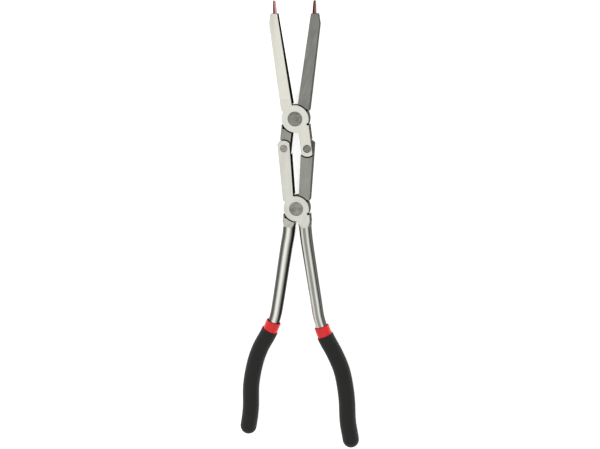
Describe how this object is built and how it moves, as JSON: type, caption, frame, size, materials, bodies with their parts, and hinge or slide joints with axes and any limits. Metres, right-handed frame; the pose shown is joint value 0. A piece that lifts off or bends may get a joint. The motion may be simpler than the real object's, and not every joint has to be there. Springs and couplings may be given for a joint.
{
  "type": "long-reach ring pliers",
  "caption": "Long-reach compound double-joint internal ring pliers: crossed jaws with red tips, two levers with round rods, and dipped vinyl grips.",
  "frame": {"origin": "middle of the tool's box, on the surface that the grips lie on", "axes": "+X across the tool, to the side of the front lever's grip; +Y along the tool, from the grips to the tips; +Z through its thickness, out of the face that shows"},
  "size_m": [0.096, 0.3502, 0.0133],
  "materials": {
    "front_steel": "satin ground nickel-coloured steel, polished on the round rod",
    "rear_steel": "satin ground steel, a shade darker, polished on the round rod",
    "rivet_steel": "dark ground rivet ends, flush with the faces",
    "tip_red": "thin dark red lacquer",
    "grip_red": "dipped soft vinyl, semi-gloss",
    "grip_black": "dipped soft vinyl, matte"
  },
  "bodies": {
    "front_lever": {"front_lever": "front_steel", "front_grip_base": "grip_red", "front_grip_cover": "grip_black", "lower_pivot_rivet": "rivet_steel", "left_link_rivet": "rivet_steel"},
    "rear_lever": {"rear_lever": "rear_steel", "rear_grip_base": "grip_red", "rear_grip_cover": "grip_black", "right_link_rivet": "rivet_steel"},
    "rear_jaw": {"rear_jaw": "rear_steel", "rear_jaw_tip": "tip_red", "upper_pivot_rivet": "rivet_steel"},
    "front_jaw": {"front_jaw": "front_steel", "front_jaw_tip": "tip_red"}
  },
  "joints": [
    {"name": "handle_pivot", "type": "hinge", "parent": "front_lever", "child": "rear_lever", "pos_m": [0.00064, 0.01815, 0.00665], "axis": [0, 0, 1], "range_deg": [-7, 8.8]},
    {"name": "left_link_pivot", "type": "hinge", "parent": "front_lever", "child": "rear_jaw", "pos_m": [-0.00831, 0.06465, 0.00665], "axis": [0, 0, 1], "range_deg": [-10.75, 13.5]},
    {"name": "jaw_pivot", "type": "hinge", "parent": "rear_jaw", "child": "front_jaw", "pos_m": [0.00064, 0.08725, 0.00665], "axis": [0, 0, 1], "range_deg": [-18.15, 14.45]}
  ],
  "couplings": [
    {"joint": "left_link_pivot", "follows": "handle_pivot", "ratio": 1.5275},
    {"joint": "jaw_pivot", "follows": "handle_pivot", "ratio": -2.055}
  ]
}
